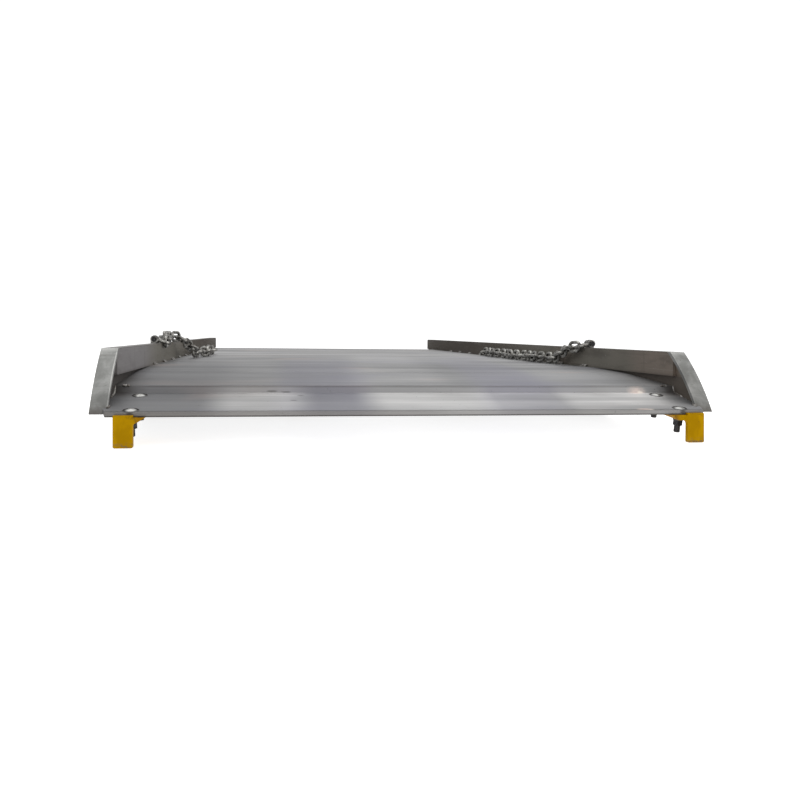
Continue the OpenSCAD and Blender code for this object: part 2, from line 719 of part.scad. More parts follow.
module chain_link() {
    straight = link_inner_l - link_inner_w;
    translate([link_half_w, 0, 0]) {
        rotate(90) rotate_extrude(angle = 180) translate([link_half_w, 0]) circle(d = wire_d);
        translate([straight, 0, 0]) rotate(-90) rotate_extrude(angle = 180)
            translate([link_half_w, 0]) circle(d = wire_d);
        for (s = [-1, 1])
            translate([0, s * link_half_w, 0]) rotate([0, 90, 0]) cylinder(d = wire_d, h = straight);
    }
}
module aimed(start, a) {
    t = heading(a);
    u = breadth(a);
    n = cross(t, u);
    multmatrix([[t[0], u[0], n[0], start[0]], [t[1], u[1], n[1], start[1]],
                [t[2], u[2], n[2], start[2]], [0, 0, 0, 1]]) children();
}
module chain(side, first, count) {
    aims = chain_aims(side, fall_of(side));
    starts = link_places(side, fall_of(side));
    color(CHAIN_GREY) raised() on_side(side)
        for (i = [first : first + count - 1]) aimed(starts[i], aims[i]) chain_link();
}
// The links of one stretch: 0 leads from the shackle, 1 to 3 lie on the deck, 4 is the end link
module stretch(side, n) {
    lead = lead_links(side);
    run = run_links(side);
    if (n == 0) chain(side, 0, lead);
    else if (n < 3) chain(side, lead + (n - 1) * run, run);
    else if (n == 3) chain(side, lead + 2 * run, tail_links(side));
    else chain(side, chain_links - 1, 1);
}

lip_plank();
bend_plank();
for (i = [1 : plank_count]) deck_plank(i);
heel_plank();
ground_plank();
side_rail("left");  // side_rail_left
side_rail("right");  // side_rail_right
deck_ledge("left");  // deck_ledge_left
deck_ledge("right");  // deck_ledge_right
curb("left");  // curb_left
curb("right");  // curb_right
end_band("left");  // end_band_left
end_band("right");  // end_band_right
curb_welds("left");  // curb_welds_left
curb_welds("right");  // curb_welds_right
inner_beam("left");  // inner_beam_left
inner_beam("right");  // inner_beam_right
leg("left");  // leg_left
leg("right");  // leg_right
leg_bolts();
leg_washers();
leg_nuts();
chain_eye("left");  // chain_eye_left
chain_eye("right");  // chain_eye_right
shackle("left");  // shackle_left
shackle("right");  // shackle_right
shackle_pin("left");  // shackle_pin_left
shackle_pin("right");  // shackle_pin_right
stretch("left", 0);  // chain_lead_left
stretch("right", 0);  // chain_lead_right
stretch("left", 1);  // chain_run_a_left
stretch("right", 1);  // chain_run_a_right
stretch("left", 2);  // chain_run_b_left
stretch("right", 2);  // chain_run_b_right
stretch("left", 3);  // chain_run_c_left
stretch("right", 3);  // chain_run_c_right
stretch("left", 4);  // chain_end_left
stretch("right", 4);  // chain_end_right
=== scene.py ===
"""Dresses the aluminium walk ramp: metal and paint finishes, weld beads, bolt threads and the studio."""

from __future__ import annotations

import functools
import logging
import math
from abc import ABC, abstractmethod
from collections.abc import Iterable, Sequence
from dataclasses import dataclass
from enum import Enum
from typing import Any

import bpy
from mathutils import Matrix, Vector

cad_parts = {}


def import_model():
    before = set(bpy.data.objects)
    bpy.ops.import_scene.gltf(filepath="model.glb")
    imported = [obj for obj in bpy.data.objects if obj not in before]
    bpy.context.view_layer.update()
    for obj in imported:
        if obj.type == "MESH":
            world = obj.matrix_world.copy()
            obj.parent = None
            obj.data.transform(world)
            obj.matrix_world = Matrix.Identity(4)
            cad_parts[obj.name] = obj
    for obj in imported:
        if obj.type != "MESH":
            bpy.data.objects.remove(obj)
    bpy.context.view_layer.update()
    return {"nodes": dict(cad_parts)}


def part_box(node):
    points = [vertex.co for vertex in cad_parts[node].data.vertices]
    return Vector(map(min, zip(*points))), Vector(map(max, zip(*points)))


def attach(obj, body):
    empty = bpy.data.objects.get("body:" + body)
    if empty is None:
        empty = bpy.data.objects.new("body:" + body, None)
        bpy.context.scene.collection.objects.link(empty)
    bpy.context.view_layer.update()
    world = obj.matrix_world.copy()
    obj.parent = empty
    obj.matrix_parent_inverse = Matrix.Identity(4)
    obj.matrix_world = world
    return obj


LOG = logging.getLogger("walk_ramp")
RAMP = "ramp"
Triple = tuple[float, float, float]
Colour = Triple
Span = tuple[float, float]


class Side(Enum):
    """The two sides of the ramp, seen from the lip."""

    LEFT = "left"
    RIGHT = "right"

    @property
    def sign(self) -> int:
        """The sign of x on this side."""
        return -1 if self is Side.LEFT else 1


class Slot(Enum):
    """Names of material slots that come with new pieces; nothing in the script reads them."""

    BAND = "band"
    DARK_STEEL = "dark_steel"


class Operation(Enum):
    """The operations of shader expressions, by the Math node's names."""

    ADD = "ADD"
    SUBTRACT = "SUBTRACT"
    MULTIPLY = "MULTIPLY"
    DIVIDE = "DIVIDE"
    POWER = "POWER"
    ABSOLUTE = "ABSOLUTE"
    MAXIMUM = "MAXIMUM"


class Shade:
    """A shader socket for Python expressions, whose plain numbers are thresholds and strengths of masks."""

    def __init__(self, tree: ShaderTree, socket: bpy.types.NodeSocket) -> None:
        """Keeps the output socket with the tree it belongs to."""
        self.tree = tree
        self.socket = socket

    def _math(self, operation: Operation, first: Scalar, second: Scalar) -> Shade:
        """Adds a Math node and reads its result."""
        return self.tree.shade("ShaderNodeMath", {"operation": operation.value}, {0: first, 1: second})

    def __add__(self, other: Scalar) -> Shade:
        """Sum of two values."""
        return self._math(Operation.ADD, self, other)

    __radd__ = __add__

    def __sub__(self, other: Scalar) -> Shade:
        """Difference of two values."""
        return self._math(Operation.SUBTRACT, self, other)

    def __rsub__(self, other: Scalar) -> Shade:
        """Difference with this shade on the right."""
        return self._math(Operation.SUBTRACT, other, self)

    def __mul__(self, other: Scalar) -> Shade:
        """Product of two values."""
        return self._math(Operation.MULTIPLY, self, other)

    __rmul__ = __mul__

    def __truediv__(self, other: Scalar) -> Shade:
        """Quotient of two values."""
        return self._math(Operation.DIVIDE, self, other)

    def __rtruediv__(self, other: Scalar) -> Shade:
        """Quotient with this shade below."""
        return self._math(Operation.DIVIDE, other, self)

    def __pow__(self, other: Scalar) -> Shade:
        """Power of a value."""
        return self._math(Operation.POWER, self, other)

    def __abs__(self) -> Shade:
        """Size of a value without its sign."""
        return self._math(Operation.ABSOLUTE, self, 0.0)

    def either(self, other: Scalar) -> Shade:
        """The larger of two masks."""
        return self._math(Operation.MAXIMUM, self, other)

    def ramp(self, low: float, high: float, start: float = 0.0, end: float = 1.0) -> Shade:
        """A smooth step from start to end, as the value goes from low to high."""
        sockets = {"Value": self, "From Min": low, "From Max": high, "To Min": start, "To Max": end}
        return self.tree.shade("ShaderNodeMapRange", {"interpolation_type": "SMOOTHSTEP"}, sockets)

    def band(self, low: float, high: float, soft: float) -> Shade:
        """A mask that is 1 between two values, with soft edges outside them."""
        return self.ramp(low - soft, low) * self.ramp(high + soft, high)


Scalar = Shade | float
Tint = Shade | Colour


def any_of(masks: Iterable[Shade]) -> Shade:
    """The largest of several masks."""
    return functools.reduce(Shade.either, masks)


def moved(span: Span, by: float) -> Span:
    """A span moved along its axis."""
    return span[0] + by, span[1] + by


class ShaderTree:
    """A node tree, with one way to add nodes to it."""

    def __init__(self, tree: bpy.types.NodeTree) -> None:
        """Takes a tree and empties it."""
        self.tree = tree
        self.tree.nodes.clear()

    def node(self, kind: str, settings: dict[str, Any], inputs: dict[int | str, Any]) -> bpy.types.Node:
        """Adds any node.

        Args:
            kind: The node's type.
            settings: Its properties, set before its sockets.
            inputs: Values or shades for its sockets, by name or number.

        Returns:
            The new node.
        """
        made = self.tree.nodes.new(kind)
        for key, value in settings.items():
            setattr(made, key, value)
        for key, value in inputs.items():
            if isinstance(value, Shade):
                self.tree.links.new(value.socket, made.inputs[key])
            else:
                made.inputs[key].default_value = value
        return made

    def shade(self, kind: str, settings: dict[str, Any], inputs: dict[int | str, Any],
              output: int | str = 0) -> Shade:
        """Adds a node and reads the output that is named or numbered."""
        return Shade(self, self.node(kind, settings, inputs).outputs[output])


@dataclass(frozen=True)
class Grain:
    """A noise pattern."""

    cells: Triple  # per metre along x, y and z
    octaves: float
    rough: float  # weight of the finer octaves
    bend: float = 0.0  # distortion


class FinishTree(ShaderTree):
    """The node tree of one finish, with the object's own coordinates."""

    # The Mix node's sockets when it mixes colours
    MIX_FACTOR, MIX_FIRST, MIX_SECOND, MIX_RESULT = 0, 6, 7, 2

    def __init__(self, name: str) -> None:
        """Starts an empty material.

        Args:
            name: Name of the material.
        """
        self.material = bpy.data.materials.new(name)
        self.material.use_nodes = True
        super().__init__(self.material.node_tree)
        self.place = self.shade("ShaderNodeTexCoord", {}, {}, "Object")
        parts = self.node("ShaderNodeSeparateXYZ", {}, {"Vector": self.place})
        self.across, self.along, self.up = (Shade(self, parts.outputs[axis]) for axis in "XYZ")

    def noise(self, grain: Grain) -> Shade:
        """The noise of a pattern, from 0 to 1."""
        place = self.shade("ShaderNodeMapping", {}, {"Vector": self.place, "Scale": grain.cells})
        return self.shade("ShaderNodeTexNoise", {}, {
            "Vector": place, "Scale": 1.0, "Detail": grain.octaves, "Roughness": grain.rough,
            "Distortion": grain.bend})

    def noises(self, *grains: Grain) -> list[Shade]:
        """The noises of several patterns."""
        return [self.noise(grain) for grain in grains]

    def blend(self, factor: Scalar, first: Tint, second: Tint) -> Shade:
        """Mixes two colours: a factor of 0 gives the first and 1 the second."""
        sockets = {self.MIX_FACTOR: factor, self.MIX_FIRST: self._rgba(first),
                   self.MIX_SECOND: self._rgba(second)}
        return self.shade("ShaderNodeMix", {"data_type": "RGBA"}, sockets, self.MIX_RESULT)

    def layers(self, base: Tint, *coats: tuple[Scalar, Tint]) -> Shade:
        """Lays coats of colour over each other.

        Args:
            base: The lowest colour.
            coats: Each coat's mask and its colour, from the lowest up.

        Returns:
            The colour of all coats together.
        """
        for mask, colour in coats:
            base = self.blend(mask, base, colour)
        return base

    @staticmethod
    def _rgba(value: Any) -> Any:
        """A plain colour with its alpha, and anything else as it is."""
        return (*value, 1.0) if isinstance(value, tuple) else value

    def bump(self, height: Shade, strength: float, depth: float, under: Shade | None = None) -> Shade:
        """A bump from a height.

        Args:
            height: The height mask.
            strength: Strength of the bump.
            depth: Height of a full step, in metres.
            under: A bump that lies under this one.

        Returns:
            The normal.
        """
        inputs: dict[int | str, Any] = {"Strength": strength, "Distance": depth, "Height": height}
        if under is not None:
            inputs["Normal"] = under
        return self.shade("ShaderNodeBump", {}, inputs)

    def finish(self, **sockets: Any) -> bpy.types.Material:
        """Joins the shades to a Principled shader and the shader to the material's output.

        Args:
            sockets: Socket names, with _ for a space, and their values or shades.

        Returns:
            The finished material.
        """
        inputs = {key.replace("_", " "): self._rgba(value) for key, value in sockets.items()}
        shader = self.shade("ShaderNodeBsdfPrincipled", {}, inputs)
        self.node("ShaderNodeOutputMaterial", {}, {"Surface": shader})
        return self.material


@dataclass(frozen=True)
class DeckLine:
    """The walking line along the ramp, in metres. Each y is a distance from the lip's edge."""

    mid_y: float  # the CAD frame's origin
    lap_y: float  # the lower edge of the lap
    level_end: float  # the end of the level deck
    level_z: float  # the level deck
    nose_z: float  # the lip's lowest edge
    web_x: float  # the inner face of a rail's web
    curb_x: float  # the inner face of a curb
    slope: float = math.radians(10.5)
    lip_t: float = 0.0069  # thickness of the lip
    groove_y: float = 0.006
    lap_t: float = 0.0112  # height of the lap
    lap_bevel: float = 0.007  # width of its bevelled edge

    @classmethod
    def measured(cls) -> DeckLine:
        """Measures the line on the CAD nodes.

        Returns:
            The line of the ramp in the frame.
        """
        nose, lip_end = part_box("lip_plank")
        return cls(
            mid_y=-nose.y,
            lap_y=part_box("bend_plank")[0].y - nose.y,
            level_end=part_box("heel_plank")[1].y - nose.y,
            level_z=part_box("deck_plank_1")[1].z,
            nose_z=nose.z,
            web_x=lip_end.x,
            curb_x=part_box("curb_right")[0].x)

    def along(self, y: float) -> float:
        """The frame's y at a distance from the lip's edge."""
        return y - self.mid_y

    def under(self, x: float, y: float) -> Vector:
        """A point on the lip's underside, by its x and its distance from the lip's edge."""
        return Vector((x, self.along(y), self.nose_z + y * math.tan(self.slope)))

    def lip(self, x: float, y: float) -> Vector:
        """A point on the lip's sloped face."""
        return self.under(x, y) + Vector((0.0, 0.0, self.lip_t / math.cos(self.slope)))

    def lap_edge(self, x: float) -> Vector:
        """A point on the upper edge of the bent plank's lap."""
        return self.lip(x, self.lap_y) + Vector((0.0, self.lap_bevel, self.lap_t))


@dataclass(frozen=True)
class Finish(ABC):
    """A finish of the ramp, with the deck's line that its masks are placed by."""

    line: DeckLine

    @abstractmethod
    def make(self) -> bpy.types.Material:
        """Builds the material of the finish."""

    def past(self, t: FinishTree, start: float, end: float, low: float = 0.0, high: float = 1.0) -> Shade:
        """A step from low to high along the ramp, between two distances from the lip's edge."""
        return t.along.ramp(self.line.along(start), self.line.along(end), low, high)

    def strip(self, t: FinishTree, start: float, end: float, soft: float) -> Shade:
        """A soft-edged strip across the ramp, between two distances from the lip's edge."""
        return t.along.band(self.line.along(start), self.line.along(end), soft)


@dataclass(frozen=True)
class Mark:
    """A small spot on the deck: its x, its distance from the lip's edge, and its half sizes."""

    x: float
    y: float
    half_x: float
    half_y: float


@dataclass(frozen=True)
class Spots:
    """Ragged spots of one kind: how far from its middle a spot starts to fade, and their strength."""

    marks: tuple[Mark, ...]
    heart: float
    strength: float


@dataclass(frozen=True)
class WearAndSheen:
    """A band along the ramp, of wear and painted reflection: its two sides at the lap, its strength and its
    drift per metre.
    """

    low: float
    high: float
    strength: float
    drift: float = 0.0


@dataclass(frozen=True)
class ExtrudedDeck(Finish):
    """Mill aluminium planks: die lines across the ramp, a lip rubbed and with painted reflections, painted
    glints, painted shade at the joints, bolt rings and left corner, scuffs, and darker sides.
    """

    clean: Colour = (0.40, 0.402, 0.408)
    dull: Colour = (0.21, 0.211, 0.217)
    # Bright colour of the lip's wear and of painted reflections
    rub_and_sheen: Colour = (0.93, 0.92, 0.905)
    cool: Colour = (0.27, 0.27, 0.315)
    bluish: Colour = (0.30, 0.295, 0.37)
    warm: Colour = (0.50, 0.42, 0.39)
    # Painted shade of the left corner by the lip
    grey: Colour = (0.11, 0.11, 0.115)
    glint: Colour = (0.97, 0.80, 0.72)
    # Painted highlight: the glints' bright cores
    glint_core: Colour = (1.0, 0.93, 0.84)
    # Painted shade of the nose face in front of the groove
    nose: Colour = (0.17, 0.16, 0.15)
    # Soot for scratches, scuffs and pits, also used for the painted shade and the darker sides
    soot_and_shade: Colour = (0.045, 0.041, 0.037)
    edge_tint: Colour = (0.82, 0.82, 0.82)
    die_lines: Grain = Grain((0.35, 11.0, 11.0), 9.0, 0.74)
    fine_lines: Grain = Grain((0.7, 420.0, 420.0), 3.0, 0.6)
    broad: Grain = Grain((2.6, 8.0, 2.6), 3.0, 0.5)
    hues: Grain = Grain((4.0, 7.0, 4.0), 2.0, 0.5)
    scratches: Grain = Grain((26.0, 260.0, 26.0), 4.0, 0.65, 0.3)
    pitting: Grain = Grain((190.0, 190.0, 190.0), 2.0, 0.5)
    ragged_rim: Grain = Grain((140.0, 420.0, 140.0), 4.0, 0.7)
    dirt: Grain = Grain((16.0, 12.0, 12.0), 4.0, 0.65)
    # Bright bands: wear and painted reflection on the lip, painted reflection fanning out on the deck
    lip_rubs_and_sheen: tuple[WearAndSheen, ...] = (
        WearAndSheen(-0.275, -0.205, 0.98), WearAndSheen(-0.04, 0.11, 0.95), WearAndSheen(0.11, 0.255, 0.56), WearAndSheen(0.27, 0.40, 1.15))
    deck_reflections: tuple[WearAndSheen, ...] = (
        WearAndSheen(-0.265, -0.235, 0.09, -0.03), WearAndSheen(-0.055, 0.03, 0.19, 0.09), WearAndSheen(0.28, 0.33, 0.08, 0.09))
    # Bluish bands of painted reflection, which fan out along the deck
    reflection_bands: tuple[WearAndSheen, ...] = (WearAndSheen(-0.19, -0.09, 1.0, 0.04), WearAndSheen(0.14, 0.22, 1.0, 0.09))
    # Painted highlights: glints and their bright cores
    glints: Spots = Spots((Mark(0.394, 0.1085, 0.019, 0.0075), Mark(0.362, 0.007, 0.018, 0.006)), 0.1, 0.75)
    glint_cores: Spots = Spots((Mark(0.400, 0.1075, 0.0065, 0.0028), Mark(0.372, 0.005, 0.007, 0.003)), 0.3, 1.0)
    scuffs: Spots = Spots((Mark(-0.221, 0.1093, 0.010, 0.0012), Mark(-0.199, 0.1085, 0.010, 0.0009),
                           Mark(-0.176, 0.092, 0.007, 0.0035), Mark(-0.188, 0.064, 0.007, 0.0035)), 0.7, 0.48)
    # The bolts' spot faces: distances from the middle and from the lip's edge, and the radii of the painted
    # shadow rings
    bolts: tuple[Span, ...] = ((0.423, 0.0117), (0.4225, 0.0937))
    ring_r: Span = (0.0132, 0.0112)
    # Where masks begin and end, in metres: x from the middle and y from the lip's edge
    nose_shade_x: Span = (-0.3, 0.2)
    corner_x: Span = (0.02, -0.38)
    corner_y: Span = (1.1, 0.2)
    reflection_y: Span = (1.5, 0.1)
    lip_dark_y: Span = (0.07, 0.10)
    near_dark_y: Span = (0.35, 0.12)
    bevel_shade_x: Span = (-0.28, -0.38)
    # The same from the lap's lower edge, its upper edge, the lip's lowest edge and the level deck's end
    deck_sheen_from: Span = (0.0, 0.03)
    deck_sheen_until: Span = (1.7, 0.3)
    far_sheen: Span = (0.45, 1.3)
    lap_shadow: Span = (-0.0008, 0.0022)
    nose_shadow: Span = (0.0026, 0.0012)
    sloped_end: Span = (-0.16, -0.06)
    # Widths of the darkening along the sides, which is measured inwards from the deck's edge
    edge_x: float = 0.462
    side_dark_w: Span = (0.052, 0.018)
    near_side_dark_w: Span = (0.095, 0.03)
    side_dark_ragged: float = 0.045
    # Half the groove's width, and the soft sides of lines and wear bands
    groove_half: float = 0.0012
    crisp: float = 0.001
    line_soft: float = 0.0008
    shadow_soft: float = 0.0016
    bevel_soft: float = 0.0006
    lip_soft: float = 0.06
    deck_soft: float = 0.07
    reflection_soft: float = 0.05

    def make(self) -> bpy.types.Material:
        """Builds the material.

        Returns:
            The deck's material.
        """
        t = FinishTree("extruded_deck")
        die, fine, broad, hue = t.noises(self.die_lines, self.fine_lines, self.broad, self.hues)
        scratch = t.noise(self.scratches).ramp(0.68, 0.73)
        pits = t.noise(self.pitting).ramp(0.71, 0.77)
        # Painted shade at the joints and bolt rings, together with the darkening along the sides
        shade_and_dark_sides = any_of((self.side_darkening(t), self.painted_shade_lines(t), self.bolt_ring_shadows(t)))
        shine = broad * 0.4 + die * 0.6
        groove = self.line.groove_y
        # The nose face painted darker, more on the left: painted shade
        nose = self.past(t, groove + self.crisp, groove - self.crisp) * t.across.ramp(*self.nose_shade_x, 0.7, 0.56)
        colour = t.layers(
            self.dull,
            (shine.ramp(0.36, 0.64), self.clean),
            (hue.ramp(0.54, 0.72) * 0.55, self.cool),
            (hue.ramp(0.42, 0.28) * 0.45, self.warm),
            # painted reflection
            (self.painted_reflection(t, broad) * 0.46, self.bluish),
            # painted shade
            (self.shaded_left_corner(t, broad), self.grey),
            # wear and painted reflection, and a painted sheen further away
            (self.rub_and_sheen_mask(t, broad, die), self.rub_and_sheen),
            (fine.ramp(0.45, 0.75) * 0.2, self.dull),
            # painted shade on the nose face
            (nose, self.nose),
            (self.spots(t, self.glints), self.glint),
            (self.spots(t, self.glint_cores), self.glint_core),
            ((scratch * 0.5).either(self.spots(t, self.scuffs)), self.soot_and_shade),
            (pits * 0.4, self.soot_and_shade),
            # painted shade and darker sides
            (shade_and_dark_sides, self.soot_and_shade))
        roughness = 0.44 - shine.ramp(0.4, 0.7) * 0.1 + broad * 0.1 + shade_and_dark_sides * 0.25
        normal = t.bump(scratch + pits, -0.25, 0.0002, t.bump(die + fine * 0.3, 0.3, 0.0004))
        return t.finish(Base_Color=colour, Metallic=0.92 - shade_and_dark_sides * 0.6, Roughness=roughness,
                        Specular_Tint=self.edge_tint, Normal=normal)

    def shaded_left_corner(self, t: FinishTree, broad: Shade) -> Shade:
        """The left corner by the lip, painted darker: painted shade on the side away from the light."""
        return t.across.ramp(*self.corner_x) * self.past(t, *self.corner_y) * broad.ramp(0.2, 0.6, 0.33, 0.60)

    def painted_reflection(self, t: FinishTree, broad: Shade) -> Shade:
        """Painted reflection: bluish bands along the ramp, between the rubbed ones."""
        bands = self.worn(t, self.reflection_bands, self.reflection_soft)
        return bands * self.past(t, *self.reflection_y) * broad.ramp(0.3, 0.6, 0.6, 1.0)

    def worn(self, t: FinishTree, bands: Iterable[WearAndSheen], soft: float) -> Shade:
        """Bands along the ramp, of wear and painted reflection, with soft sides of a given width."""
        past_lap = t.along - self.line.along(self.line.lap_y)
        return any_of((t.across - past_lap * band.drift).band(band.low, band.high, soft) * band.strength
                      for band in bands)

    def rub_and_sheen_mask(self, t: FinishTree, broad: Shade, die: Shade) -> Shade:
        """Bright patches of wear and painted reflection on the lip and the lap's bevel, painted reflection
        bands that fan out on the first planks, and a painted sheen that grows towards the far end.

        Args:
            t: The deck's tree.
            broad: Broad noise that breaks the patches up.
            die: Noise drawn out across the ramp.

        Returns:
            The patches' mask.
        """
        lap = self.line.lap_y
        lip = self.worn(t, self.lip_rubs_and_sheen, self.lip_soft)
        on_lip = self.past(t, lap + self.crisp, lap - self.crisp) * self.past(t, 0.0, lap, 0.35, 1.0)
        bevel = self.strip(t, lap, lap + self.line.lap_bevel, self.line_soft) * lip * 0.15
        near = self.past(t, *moved(self.deck_sheen_from, lap)) * self.past(t, *moved(self.deck_sheen_until, lap))
        far_sheen = self.past(t, *moved(self.far_sheen, lap)) * 0.32
        broken = broad.ramp(0.3, 0.6, 0.45, 1.0) * die.ramp(0.34, 0.6, 0.5, 1.0)
        deck = self.worn(t, self.deck_reflections, self.deck_soft) * near
        return (on_lip * lip * 0.92 + deck + far_sheen) * broken + bevel

    def spots(self, t: FinishTree, spots: Spots) -> Shade:
        """Small ragged spots of one kind.

        Args:
            t: The deck's tree.
            spots: The spots' places, sizes and strength.

        Returns:
            The spots' mask.
        """
        ragged = t.noise(self.ragged_rim) * 1.2
        found: list[Shade] = []
        for mark in spots.marks:
            across = (t.across - mark.x) / mark.half_x
            along = (t.along - self.line.along(mark.y)) / mark.half_y
            found.append((across * across + along * along + ragged).ramp(1.7, spots.heart))
        return any_of(found) * spots.strength

    def side_darkening(self, t: FinishTree) -> Shade:
        """Darker along the sides, where the deck meets the curbs and rails, most of all just behind the lip.

        Args:
            t: The deck's tree.

        Returns:
            The darkening's mask.
        """
        ragged = self.edge_x - abs(t.across) + t.noise(self.dirt) * self.side_dark_ragged
        behind_lip = self.past(t, *self.lip_dark_y)
        near = self.past(t, *self.near_dark_y) * behind_lip
        edge = ragged.ramp(*self.side_dark_w) * (0.2 + behind_lip * 0.3)
        return edge + ragged.ramp(*self.near_side_dark_w) * near * 0.46

    def painted_shade_lines(self, t: FinishTree) -> Shade:
        """Painted shade: dark lines at the lap's edge, in the groove and under the lip's front edge, the
        darker sloped end, and the darker bevel on the left.

        Args:
            t: The deck's tree.

        Returns:
            The painted shade's mask.
        """
        foot = self.line.lap_y
        lap = foot + self.line.lap_bevel
        groove = self.line.groove_y
        # Each of these is painted shade: the lap's shadow, the left bevel, under the nose, the groove and the
        # sloped end
        edge = self.strip(t, *moved(self.lap_shadow, lap), self.shadow_soft) * 0.34
        bevel = self.strip(t, foot, lap, self.bevel_soft) * t.across.ramp(*self.bevel_shade_x) * 0.1
        under = t.up.ramp(*moved(self.nose_shadow, self.line.nose_z)) * 0.85
        cut = self.strip(t, groove - self.groove_half, groove + self.groove_half, self.line_soft) * 0.22
        end = self.past(t, *moved(self.sloped_end, self.line.level_end)) * 0.42
        return any_of((edge, under, cut, end, bevel))

    def bolt_ring_shadows(self, t: FinishTree) -> Shade:
        """Painted shadow: dark rings in the spot faces around the bolt heads.

        Args:
            t: The deck's tree.

        Returns:
            The rings' mask.
        """
        rings: list[Shade] = []
        for x, y in self.bolts:
            across = abs(t.across) - x
            along = t.along - self.line.along(y)
            rings.append(((across * across + along * along) ** 0.5).ramp(*self.ring_r))
        return any_of(rings) * 0.8


@dataclass(frozen=True)
class WeatheredRail(Finish):
    """Old aluminium rails and curbs: brownish inside with a painted shadow in the wedge below the curb,
    cleaner outside.
    """

    inner: Colour = (0.242, 0.204, 0.172)
    olive: Colour = (0.196, 0.183, 0.155)
    plum: Colour = (0.28, 0.268, 0.272)
    brown: Colour = (0.064, 0.052, 0.04)
    outer: Colour = (0.36, 0.355, 0.35)
    # Stains, and the darkening at the foot of the inner face and along the top edge
    stain_and_darkening: Colour = (0.07, 0.06, 0.05)
    # Painted shadow in the recess below the curb
    wedge_shadow: Colour = (0.026, 0.022, 0.018)
    bright: Colour = (0.46, 0.45, 0.43)
    rolled: Grain = Grain((300.0, 3.0, 300.0), 4.0, 0.6)
    blotches: Grain = Grain((12.0, 4.0, 22.0), 6.0, 0.65, 0.5)
    tones: Grain = Grain((3.0, 3.4, 3.0), 2.0, 0.5)
    runs: Grain = Grain((20.0, 46.0, 5.0), 4.0, 0.6)
    grit: Grain = Grain((240.0, 240.0, 240.0), 3.0, 0.5)
    # Where masks begin and end, in metres: from the middle and in the frame's y
    left_x: Span = (0.1, -0.1)
    plum_y: Span = (-0.54, -0.78)
    brown_y: Span = (-0.40, 0.45)
    # The same from the web's inner face, over the level deck, and from the lip's edge
    web: Span = (0.0002, 0.0037)
    below: Span = (-0.0004, -0.0016)
    foot: Span = (0.012, 0.004)
    top: Span = (0.0397, 0.0407)
    front: Span = (0.30, 0.10)

    def make(self) -> bpy.types.Material:
        """Builds the material.

        Returns:
            The rails' material.
        """
        t = FinishTree("weathered_rail")
        grain, patches, tone = t.noises(self.rolled, self.blotches, self.tones)
        drips = t.noise(self.runs).ramp(0.56, 0.72)
        specks = t.noise(self.grit).ramp(0.67, 0.73)
        side = abs(t.across).ramp(*moved(self.web, self.line.web_x))
        inside = 1.0 - side
        left = t.across.ramp(*self.left_x)
        low = self.rise(t.up, self.below) * inside
        # Darker at the foot of the inner face, just over the deck, and along the top edge
        foot = self.rise(t.up + patches * 0.012, self.foot) * inside * 0.45
        edge = self.rise(t.up, self.top) * (1.0 - side * 0.5)
        along = t.along + tone * 0.2
        far = along.ramp(*self.brown_y)
        aged = far * inside
        # Painted shadow below the curb, weaker on the right and towards the lip
        wedge_shadow = low * (0.95 - self.past(t, *self.front) * 0.15 - (1.0 - left) * 0.37)
        colour = t.layers(
            self.inner,
            (tone.ramp(0.42, 0.6).either(left), self.olive),
            (along.ramp(*self.plum_y) * left, self.plum),
            (far, self.brown),
            (side, self.outer),
            (patches.ramp(0.46, 0.68) * 0.45, self.stain_and_darkening),
            (drips * 0.25, self.stain_and_darkening),
            (grain.ramp(0.6, 0.78) * 0.25, self.bright),
            (specks * 0.4, self.bright),
            # darker foot and top edge
            (foot.either(edge * 0.7), self.stain_and_darkening),
            (wedge_shadow, self.wedge_shadow))
        roughness = 0.44 + patches * 0.24 - specks * 0.1 + low * 0.15 + aged * 0.2
        normal = t.bump(specks, 0.25, 0.0003, t.bump(grain, 0.2, 0.0003))
        return t.finish(Base_Color=colour, Metallic=0.8 - low.either(edge) * 0.4 - aged * 0.3,
                        Roughness=roughness, Normal=normal)

    def rise(self, height: Shade, span: Span) -> Shade:
        """A step between two heights over the level deck."""
        return height.ramp(*moved(span, self.line.level_z))


